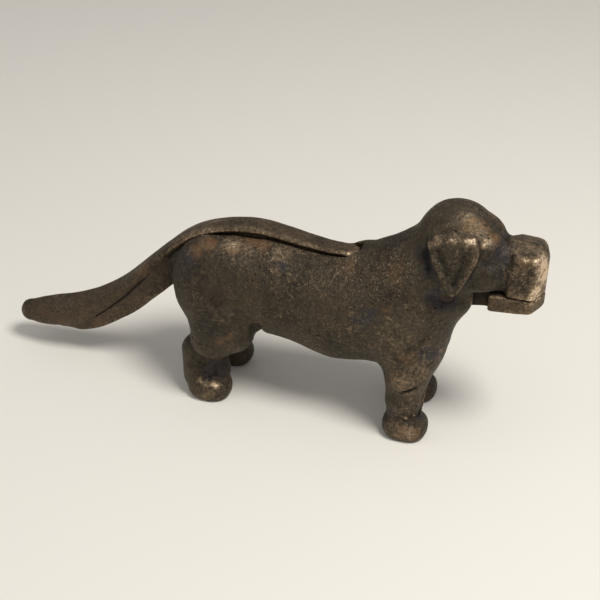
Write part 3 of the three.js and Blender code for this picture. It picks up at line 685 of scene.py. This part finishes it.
def mesh_piece(name, points, faces, marks=None):
    """A smooth mesh from points in millimetres, with a value per vertex for each mark."""
    mesh = bpy.data.meshes.new(name)
    mesh.from_pydata((np.asarray(points) * MM).tolist(), [], [list(map(int, face)) for face in faces])
    mesh.validate()
    mesh.shade_smooth()
    mesh.set_sharp_from_angle(angle=SHARP_FROM)
    for mark, values in (marks or {}).items():
        layer = mesh.attributes.new(mark, "FLOAT", "POINT")
        layer.data.foreach_set("value", np.asarray(values, np.float32))
    piece = bpy.data.objects.new(name, mesh)
    bpy.context.scene.collection.objects.link(piece)
    return piece


def steps(stops, sizes):
    """Grid values between the stops, with one cell size for each stretch."""
    parts = [np.linspace(a, b, math.ceil((b - a) / size), endpoint=False)
             for a, b, size in zip(stops, stops[1:], sizes)]
    return np.concatenate(parts + [[stops[-1]]])


SEAM_BAND, SEAM_MOVE = 0.3, 0.6


def square_seam(points):
    """Draws the vertices next to the seam out to a clean corner between seam face and outside."""
    beside = points[:, 1] < SEAM_BAND
    x, z = points[beside, 0], points[beside, 2]
    y = np.full(len(x), SEAM_HALF_GAP)
    for _ in range(4):
        here, rise = slope(whole_body_form, np.stack([x, y, z], 1))
        steep = np.maximum(rise[:, 0] ** 2 + rise[:, 2] ** 2, LEAST_SLOPE)
        move = np.where(here > -SEAM_MOVE, np.clip(here, -SEAM_MOVE, SEAM_MOVE) / steep, 0)
        x, z = x - move * rise[:, 0], z - move * rise[:, 2]
    points[beside] = np.stack([x, y, z], 1)


def casting(form, grid, spots, whole=None):
    """Skins a form and marks its vertices with edges and swells, read from the whole, and with spots."""
    points, quads = skin(form, *grid)
    points = settle(form, points, quads)
    if form is body_form:
        square_seam(points)
    whole = whole or form
    marks = {
        "edge": roundness(whole, points, EDGE_REACH),
        "swell": roundness(whole, points, SWELL_REACH),
    }
    marks.update((mark, painted(points, places)) for mark, places in spots.items())
    return points, quads, marks


# Cell sizes scale with COARSE, which can be raised for quick work, and are finer at the head than along the
# trunk
COARSE = 1.0
TRUNK_AND_HEAD_CELLS = (0.95 * COARSE, 0.62 * COARSE)
body_grid = (
    steps((-44, 84, 142), TRUNK_AND_HEAD_CELLS),
    np.concatenate([[-0.5, 0], steps((0.4, 31), (0.78 * COARSE,))]),
    steps((-1.5, 84, 125), TRUNK_AND_HEAD_CELLS),
)
lever_grid = (
    steps((-142, 141), (0.62 * COARSE,)),
    steps((-12, 12), (0.55 * COARSE,)),
    steps((9, 99), (0.6 * COARSE,)),
)
PIN_CELL, PIN_REACH = 0.5 * COARSE, 28
LEFT_PAW_BACK = 2.4
# Where that move starts, and over how far it grows to the full one: from the seam, from above, from behind
BACK_FROM_SEAM, BACK_BELOW, BACK_BEFORE = (2, 6), (44, 18), (45, 15)


def set_back(points):
    """The left fore paw stands a little further back than the right one."""
    x, y, z = points.T
    share = np.clip((y - BACK_FROM_SEAM[0]) / BACK_FROM_SEAM[1], 0, 1)
    share = share * np.clip((BACK_BELOW[0] - z) / BACK_BELOW[1], 0, 1)
    share = share * np.clip((x - BACK_BEFORE[0]) / BACK_BEFORE[1], 0, 1)
    return points - LEFT_PAW_BACK * share[:, None] * [1, 0, 0]


half_points, half_quads, half_marks = casting(body_form, body_grid, BODY_SPOTS, unbored_body_form)
lever_points, lever_quads, lever_marks = casting(lever_form, lever_grid, LEVER_SPOTS)

left_half = mesh_piece("left_body_casting", set_back(half_points), half_quads, half_marks)
right_half = mesh_piece("right_body_casting", half_points * [1, -1, 1], half_quads[:, ::-1], half_marks)
lever = mesh_piece("lever_casting", lever_points, lever_quads, lever_marks)


def dressed_pin(name, centre, radius, sunk):
    side = steps((-radius - 1, radius + 1), (PIN_CELL,))
    grid = (centre[0] + side, steps((-PIN_REACH, PIN_REACH), (PIN_CELL * 1.6,)), centre[1] + side)
    # The pins take the castings' spots of painted shade and grime, so they are dark where they sit in
    # recesses
    shade_and_soot = {"soot_and_shade": BODY_SPOTS["soot_and_shade"]}
    points, quads, marks = casting(pin_form(centre, radius, sunk), grid, shade_and_soot, dog_form)
    return mesh_piece(name, points, quads, marks)


pivot_pin, haunch_rivet, flank_rivet = (
    dressed_pin(name, centre, radius, sunk)
    for (centre, radius), name, sunk in zip(
        PINS, ("pivot_pin_dressed", "haunch_rivet_dressed", "flank_rivet_dressed"), (0.15, 0.02, -0.06))
)


# Finishes

def new_group(name, inputs, outputs):
    """A group of shader nodes with named sockets, and its own input and output nodes."""
    group = bpy.data.node_groups.new(name, "ShaderNodeTree")
    for label, kind, default in inputs:
        socket = group.interface.new_socket(label, in_out="INPUT", socket_type=kind)
        if default is not None:
            socket.default_value = default
    for label, kind in outputs:
        group.interface.new_socket(label, in_out="OUTPUT", socket_type=kind)
    return group, group.nodes.new("NodeGroupInput"), group.nodes.new("NodeGroupOutput")


class Wiring:
    """Short hands for adding nodes to a tree and linking them."""

    def __init__(self, tree):
        self.tree = tree

    def node(self, kind, links=None, **settings):
        node = self.tree.nodes.new(kind)
        for key, value in settings.items():
            setattr(node, key, value)
        for key, value in (links or {}).items():
            socket = node.inputs[key]
            if isinstance(value, bpy.types.NodeSocket):
                self.tree.links.new(value, socket)
            else:
                socket.default_value = value
        return node

    def maths(self, operation, a, b=0.0, clamp=False):
        return self.node("ShaderNodeMath", {0: a, 1: b}, operation=operation, use_clamp=clamp).outputs[0]

    def ramp(self, value, low, high):
        """From 0 at low to 1 at high, smoothly."""
        node = self.node("ShaderNodeMapRange", {"Value": value, "From Min": low, "From Max": high},
                         interpolation_type="SMOOTHSTEP")
        return node.outputs["Result"]

    def noise(self, vector, scale, detail=4.0, rough=0.55):
        node = self.node("ShaderNodeTexNoise",
                         {"Vector": vector, "Scale": scale, "Detail": detail, "Roughness": rough})
        return node.outputs["Fac"]

    def mix(self, share, a, b):
        node = self.node("ShaderNodeMix", data_type="RGBA")
        for socket, value in ((node.inputs[0], share), (node.inputs[6], a), (node.inputs[7], b)):
            if isinstance(value, bpy.types.NodeSocket):
                self.tree.links.new(value, socket)
            else:
                socket.default_value = value
        return node.outputs[2]


def sand_cast_skin():
    """Grain and pits that the moulding sand leaves: a height, the deeper pits and the raised tips."""
    group, given, made = new_group(
        "sand cast skin",
        [("Grain Size", "NodeSocketFloat", 1.0), ("Pitting", "NodeSocketFloat", 0.5)],
        [("Height", "NodeSocketFloat"), ("Pits", "NodeSocketFloat"), ("Tips", "NodeSocketFloat")],
    )
    w = Wiring(group)
    place = w.node("ShaderNodeTexCoord").outputs["Object"]
    place = w.node("ShaderNodeVectorMath", {0: place, 3: given.outputs["Grain Size"]}, operation="SCALE")
    place = place.outputs["Vector"]
    coarse = w.noise(place, 330.0, 2.0, 0.5)
    middle = w.noise(place, 820.0, 3.0, 0.65)
    fine = w.noise(place, 2300.0, 2.0, 0.5)
    dots = w.noise(place, 1250.0, 2.0, 0.5)
    cells = w.node("ShaderNodeTexVoronoi", {"Vector": place, "Scale": 480.0})
    pits = w.ramp(cells.outputs["Distance"], 0.3, 0.06)
    patches = w.ramp(w.noise(place, 85.0, 2.0), 0.48, 0.64)
    pits = w.maths("MULTIPLY", w.maths("MULTIPLY", pits, patches), given.outputs["Pitting"])
    height = w.maths("ADD", w.maths("MULTIPLY", coarse, 0.55), w.maths("MULTIPLY", middle, 0.75))
    height = w.maths("ADD", height, w.maths("MULTIPLY", fine, 0.22))
    height = w.maths("ADD", height, w.maths("MULTIPLY", dots, 0.5))
    sandy = w.node("ShaderNodeAttribute", attribute_name="sandy").outputs["Fac"]
    sandy = w.maths("ADD", sandy, w.ramp(w.noise(place, 30.0, 2.0), 0.5, 0.7), True)
    height = w.maths("MULTIPLY", height, w.maths("ADD", w.maths("MULTIPLY", sandy, 0.9), 0.5))
    group.links.new(w.maths("SUBTRACT", height, pits), made.inputs["Height"])
    group.links.new(pits, made.inputs["Pits"])
    tips = w.ramp(w.maths("ADD", dots, w.maths("MULTIPLY", coarse, 0.4)), 0.76, 0.92)
    tips = w.maths("MULTIPLY", tips, w.maths("ADD", w.maths("MULTIPLY", sandy, 0.8), 0.2))
    group.links.new(tips, made.inputs["Tips"])
    return group


# The wear that the dark finish withstands before it shows
FINISH_HOLDS = 1.79


def rubbed_finish_and_painted_light():
    """How far the dark finish is rubbed away: on edges, swells and the spots of wear, broken up by noise.
    The wear spots also paint highlights, and it gives painted shade in creases and broad hollows and at the
    spots of shade and grime.
    """
    group, given, made = new_group(
        "rubbed finish and painted light",
        [("Edge Wear", "NodeSocketFloat", 1.0), ("Spot Wear And Highlight", "NodeSocketFloat", 1.0),
         ("Tips", "NodeSocketFloat", 0.0)],
        [("Rubbed And Highlit", "NodeSocketFloat"), ("Bare And Highlit", "NodeSocketFloat"), ("Grime And Shade", "NodeSocketFloat"),
         ("Hollow Shade", "NodeSocketFloat")],
    )
    w = Wiring(group)
    place = w.node("ShaderNodeTexCoord").outputs["Object"]
    edge = w.node("ShaderNodeAttribute", attribute_name="edge").outputs["Fac"]
    swell = w.node("ShaderNodeAttribute", attribute_name="swell").outputs["Fac"]
    # The spots of wear, which also paint highlights on faces that catch the light
    spots = w.node("ShaderNodeAttribute", attribute_name="wear_and_highlight").outputs["Fac"]
    # Spots of painted shade in recesses, with some dark grime
    shade_and_soot = w.maths("MULTIPLY", w.node("ShaderNodeAttribute", attribute_name="soot_and_shade").outputs["Fac"], 1.7)
    cloud = w.noise(place, 110.0, 5.0, 0.62)
    patch = w.ramp(w.noise(place, 48.0, 3.0, 0.6), 0.36, 0.62)
    speck = w.noise(place, 560.0, 4.0, 0.75)
    edge_wear = w.maths("MULTIPLY", w.ramp(edge, 0.06, 0.34), given.outputs["Edge Wear"])
    edge_wear = w.maths("MULTIPLY", edge_wear, w.maths("ADD", w.maths("MULTIPLY", patch, 0.75), 0.25))
    swell_wear = w.maths("MULTIPLY", w.ramp(swell, 0.08, 0.36), 0.3)
    spot_wear_and_highlight = w.maths("MULTIPLY", spots, given.outputs["Spot Wear And Highlight"])
    sum_wear_and_highlight = w.maths("ADD", w.maths("ADD", edge_wear, swell_wear), spot_wear_and_highlight)
    broken = w.maths("ADD", w.maths("MULTIPLY", cloud, 1.0), w.maths("MULTIPLY", speck, 2.3))
    broken = w.maths("ADD", broken, w.maths("MULTIPLY", given.outputs["Tips"], 0.4))
    total = w.maths("SUBTRACT", w.maths("ADD", sum_wear_and_highlight, broken), FINISH_HOLDS)
    values = {
        # Metal rubbed and bared by wear, with the painted highlights of the wear spots
        "Rubbed And Highlit": w.ramp(total, 0.0, 0.85),
        "Bare And Highlit": w.ramp(total, 0.62, 1.15),
        # Painted shade in creases, where the surface is concave, and at the shaded spots, with dark grime
        "Grime And Shade": w.maths("ADD", w.ramp(edge, -0.02, -0.22), w.maths("MULTIPLY", shade_and_soot, cloud), True),
        # Painted shade in the broad hollows
        "Hollow Shade": w.ramp(swell, 0.02, -0.24),
    }
    for label, value in values.items():
        group.links.new(value, made.inputs[label])
    return group


def mottled_patina():
    """The brown finish itself: slow changes between a warm and a cool brown, with greenish touches."""
    group, given, made = new_group(
        "mottled patina",
        [("Warm", "NodeSocketColor", None), ("Cool", "NodeSocketColor", None),
         ("Touch", "NodeSocketColor", None), ("Copper", "NodeSocketColor", None),
         ("Plum_And_Shade", "NodeSocketColor", None)],
        [("Color", "NodeSocketColor"), ("Cloud", "NodeSocketFloat")],
    )
    w = Wiring(group)
    place = w.node("ShaderNodeTexCoord").outputs["Object"]
    slow = w.ramp(w.noise(place, 38.0, 4.0, 0.6), 0.38, 0.64)
    quick = w.ramp(w.noise(place, 260.0, 4.0, 0.65), 0.35, 0.7)
    touch = w.ramp(w.noise(place, 70.0, 5.0, 0.7), 0.58, 0.74)
    grain = w.ramp(w.noise(place, 640.0, 3.0, 0.7), 0.4, 0.6)
    share = w.maths("ADD", w.maths("MULTIPLY", slow, 0.4), w.maths("MULTIPLY", quick, 0.25))
    share = w.maths("ADD", share, w.maths("MULTIPLY", grain, 0.4))
    colour = w.mix(share, given.outputs["Warm"], given.outputs["Cool"])
    colour = w.mix(w.maths("MULTIPLY", touch, 0.45), colour, given.outputs["Touch"])
    broken = w.noise(place, 180.0, 5.0, 0.7)
    # Copper stains. The purple patches are partly a stain and partly painted bluish shade in hollows
    for mark in ("Copper", "Plum_And_Shade"):
        spots = w.node("ShaderNodeAttribute", attribute_name=mark.lower()).outputs["Fac"]
        stray = w.ramp(w.noise(place, 44.0 if mark == "Copper" else 52.0, 5.0, 0.65), 0.56, 0.78)
        spots = w.maths("ADD", spots, w.maths("MULTIPLY", stray, 0.6))
        share_out = w.ramp(w.maths("ADD", spots, broken), 0.72, 1.3)
        colour = w.mix(w.maths("MULTIPLY", share_out, 0.8), colour, given.outputs[mark])
    group.links.new(colour, made.inputs["Color"])
    group.links.new(share, made.inputs["Cloud"])
    return group


SKIN, RUBBED_AND_PAINTED_LIGHT, PATINA = sand_cast_skin(), rubbed_finish_and_painted_light(), mottled_patina()


def colour(r, g, b):
    return (r, g, b, 1.0)


# A bluish painted shade for the broad hollows
HOLLOW_SHADE_TINT = colour(0.045, 0.043, 0.050)
# Dark grime in pits, and painted shade in creases and recesses
SHADE_AND_GRIME_TINT = colour(0.013, 0.011, 0.009)


def patina_material(name, tints):
    """A new material with the patina and cast skin groups in it."""
    material = bpy.data.materials.new(name)
    material.use_nodes = True
    tree = material.node_tree
    w = Wiring(tree)
    patina = w.node("ShaderNodeGroup", node_tree=PATINA)
    for label, value in tints.items():
        patina.inputs[label].default_value = value
    cast = w.node("ShaderNodeGroup", node_tree=SKIN)
    return material, tree, w, tree.nodes["Principled BSDF"], patina, cast


def iron_finish(name, tints, rubbed, bare, wear_levels, pitting, depth, rough):
    """Cast iron: patina with painted shade in the hollows, then rubbed tips and edges, bare metal that also
    paints highlights, and grime in the pits with painted shade in creases and recesses.
    """
    material, tree, w, shader, patina, cast = patina_material(name, tints)
    cast.inputs["Pitting"].default_value = pitting
    wear = w.node("ShaderNodeGroup", node_tree=RUBBED_AND_PAINTED_LIGHT)
    wear.inputs["Edge Wear"].default_value, wear.inputs["Spot Wear And Highlight"].default_value = wear_levels
    tree.links.new(cast.outputs["Tips"], wear.inputs["Tips"])
    # Painted shade, a little bluish, in the broad hollows
    base = w.mix(w.maths("MULTIPLY", wear.outputs["Hollow Shade"], 0.5), patina.outputs["Color"], HOLLOW_SHADE_TINT)
    base = w.mix(w.maths("MULTIPLY", cast.outputs["Tips"], 0.5), base, rubbed)
    # Metal rubbed and bared by wear, and painted highlights from the wear spots
    base = w.mix(wear.outputs["Rubbed And Highlit"], base, rubbed)
    base = w.mix(wear.outputs["Bare And Highlit"], base, bare)
    # Grime in the pits, and painted shade in creases and recesses
    dirt_and_shade = w.maths("ADD", w.maths("MULTIPLY", wear.outputs["Grime And Shade"], 0.8),
                   w.maths("MULTIPLY", cast.outputs["Pits"], 0.8), True)
    base = w.mix(dirt_and_shade, base, SHADE_AND_GRIME_TINT)
    tree.links.new(base, shader.inputs["Base Color"])
    roughness = w.maths("ADD", w.maths("MULTIPLY", patina.outputs["Cloud"], 0.14), rough)
    roughness = w.maths("SUBTRACT", roughness, w.maths("MULTIPLY", wear.outputs["Bare And Highlit"], 0.06))
    roughness = w.maths("ADD", roughness, w.maths("MULTIPLY", dirt_and_shade, 0.25), True)
    tree.links.new(roughness, shader.inputs["Roughness"])
    metallic = w.maths("ADD", w.maths("MULTIPLY", wear.outputs["Rubbed And Highlit"], 0.2), 0.7, True)
    tree.links.new(metallic, shader.inputs["Metallic"])
    bump = w.node("ShaderNodeBump", {"Height": cast.outputs["Height"], "Strength": 0.85,
                                     "Distance": depth})
    tree.links.new(bump.outputs["Normal"], shader.inputs["Normal"])
    return material


body_iron = iron_finish(
    "rubbed brown body iron",
    {"Warm": colour(0.080, 0.060, 0.036), "Cool": colour(0.024, 0.020, 0.014),
     "Touch": colour(0.055, 0.049, 0.023), "Copper": colour(0.185, 0.098, 0.043),
     "Plum_And_Shade": colour(0.042, 0.038, 0.043)},
    colour(0.245, 0.180, 0.112), colour(0.74, 0.57, 0.40), (0.45, 0.92), 0.8, 0.0011, 0.5,
)
lever_iron = iron_finish(
    "handled brown lever iron",
    {"Warm": colour(0.100, 0.068, 0.038), "Cool": colour(0.030, 0.024, 0.016),
     "Touch": colour(0.064, 0.055, 0.028), "Copper": colour(0.115, 0.070, 0.040),
     "Plum_And_Shade": colour(0.060, 0.050, 0.046)},
    colour(0.225, 0.163, 0.100), colour(0.62, 0.46, 0.31), (0.42, 0.8), 0.5, 0.0008, 0.5,
)


def peened_steel():
    """The pins' steel, browned like the castings that it was dressed off with."""
    material, tree, w, shader, patina, cast = patina_material("dulled pin steel", {
        "Warm": colour(0.085, 0.063, 0.038), "Cool": colour(0.030, 0.025, 0.018),
        "Touch": colour(0.07, 0.06, 0.03), "Copper": colour(0.11, 0.07, 0.04),
        "Plum_And_Shade": colour(0.05, 0.045, 0.045)})
    shader.inputs["Metallic"].default_value = 0.8
    # Painted shade where the pins sit in recesses, such as under the ear, with some grime
    shade_and_soot = w.node("ShaderNodeAttribute", attribute_name="soot_and_shade").outputs["Fac"]
    tree.links.new(w.mix(w.maths("MULTIPLY", shade_and_soot, 0.6), patina.outputs["Color"], SHADE_AND_GRIME_TINT),
                   shader.inputs["Base Color"])
    tree.links.new(w.maths("ADD", w.maths("MULTIPLY", patina.outputs["Cloud"], 0.2), 0.42),
                   shader.inputs["Roughness"])
    bump = w.node("ShaderNodeBump", {"Height": cast.outputs["Height"], "Strength": 0.4, "Distance": 0.0002})
    tree.links.new(bump.outputs["Normal"], shader.inputs["Normal"])
    return material


pin_steel = peened_steel()

for piece, node, body, finish, slot in (
    (left_half, "body_left_half", "body", body_iron, "body_iron"),
    (right_half, "body_right_half", "body", body_iron, "body_iron"),
    (lever, "lever", "lever", lever_iron, "lever_iron"),
    (pivot_pin, "pivot_pin", "body", pin_steel, "pin_steel"),
    (haunch_rivet, "haunch_rivet", "body", pin_steel, "pin_steel"),
    (flank_rivet, "flank_rivet", "body", pin_steel, "pin_steel"),
):
    piece.data.materials.append(finish)
    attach(piece, body)
    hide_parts(node)


# Stage, lights and camera

# The paper's colour, and a greyer colour that paints shade on the sheet as it rises
FLOOR_SHADE, PAINTED_SHADE_AS_SHEET_RISES = colour(0.825, 0.79, 0.715), colour(0.66, 0.64, 0.615)


def stage_finish(name, shade):
    """Faintly clouded paper with painted shade that makes it greyer as the sheet rises."""
    material = bpy.data.materials.new(name)
    material.use_nodes = True
    w = Wiring(material.node_tree)
    shader = material.node_tree.nodes["Principled BSDF"]
    shader.inputs["Roughness"].default_value = 0.9
    place = w.node("ShaderNodeTexCoord").outputs["Object"]
    cloud = w.noise(place, 6.0, 3.0)
    tint = w.mix(w.maths("MULTIPLY", cloud, 0.12), shade, colour(*[v * 0.9 for v in shade[:3]]))
    high = w.node("ShaderNodeSeparateXYZ", {"Vector": place}).outputs["Z"]
    # Painted shade, greyer as the sheet rises
    tint = w.mix(w.ramp(high, -0.02, 0.5), tint, PAINTED_SHADE_AS_SHEET_RISES)
    material.node_tree.links.new(tint, shader.inputs["Base Color"])
    return material


# The sheet behind and under the dog, in metres
SHEET_FRONT, SHEET_FLAT, SHEET_BEND, SHEET_TOP, SHEET_HALF = -1.2, 2.0, 0.5, 2.2, 2.5
SHEET_STEPS = 20


def floor_sheet():
    """A seamless pale sheet: flat under the dog, rising behind it."""
    bend_from = SHEET_FRONT + SHEET_FLAT
    rows = [(SHEET_FRONT + SHEET_FLAT * i / SHEET_STEPS, 0.0) for i in range(SHEET_STEPS)]
    for i in range(SHEET_STEPS + 1):
        a = math.pi / 2 * i / SHEET_STEPS
        rows.append((bend_from + SHEET_BEND * math.sin(a), SHEET_BEND - SHEET_BEND * math.cos(a)))
    rows.append((bend_from + SHEET_BEND, SHEET_TOP))
    points, faces = [], []
    for y, z in rows:
        points += [(-SHEET_HALF / MM, y / MM, z / MM), (SHEET_HALF / MM, y / MM, z / MM)]
    for i in range(len(rows) - 1):
        faces.append((2 * i, 2 * i + 1, 2 * i + 3, 2 * i + 2))
    sheet = mesh_piece("pale_floor_sheet", points, faces)
    sheet.data.materials.append(stage_finish("pale paper floor", FLOOR_SHADE))


def lamp(name, place, aim, size, power, tint=(1, 1, 1)):
    """A round soft light in metres and watts."""
    light = bpy.data.lights.new(name, "AREA")
    light.shape = "DISK"
    light.size = size
    light.energy = power
    light.color = tint
    holder = bpy.data.objects.new(name, light)
    holder.location = place
    holder.rotation_euler = (Vector(aim) - Vector(place)).to_track_quat("-Z", "Y").to_euler()
    bpy.context.scene.collection.objects.link(holder)


floor_sheet()
# Lights and camera look at this point
AIM = (0.0216, 0.0, 0.0567)
lamp("key_from_right", (0.524, -0.265, 1.06), AIM, 0.40, 10.4, (1.0, 0.985, 0.955))
lamp("fill_from_left", (-0.9, -0.5, 1.0), AIM, 1.2, 1.5)
world = bpy.data.worlds.new("soft room")
world.use_nodes = True
world.node_tree.nodes["Background"].inputs["Color"].default_value = colour(0.97, 0.97, 1.0)
world.node_tree.nodes["Background"].inputs["Strength"].default_value = 0.40
bpy.context.scene.world = world

# The camera, fitted to the photograph: its angles, its distance, and the pixels that a millimetre at the
# point it looks at takes up in a picture of 600
AZIMUTH, ELEVATION, DISTANCE = math.radians(18.2), math.radians(33.3), 0.56
PIXELS_PER_MM, PICTURE, SENSOR = 2.01, 600, 36.0
back = Vector((math.sin(AZIMUTH) * math.cos(ELEVATION), -math.cos(AZIMUTH) * math.cos(ELEVATION),
               math.sin(ELEVATION)))
camera_data = bpy.data.cameras.new("camera")
camera_data.sensor_width = SENSOR
camera_data.lens = PIXELS_PER_MM * DISTANCE / MM / PICTURE * SENSOR
camera_data.clip_start = 0.01
camera = bpy.data.objects.new("camera", camera_data)
camera.location = Vector(AIM) + back * DISTANCE
camera.rotation_euler = (-back).to_track_quat("-Z", "Y").to_euler()
bpy.context.scene.collection.objects.link(camera)
bpy.context.scene.camera = camera
bpy.context.scene.view_settings.view_transform = "Standard"
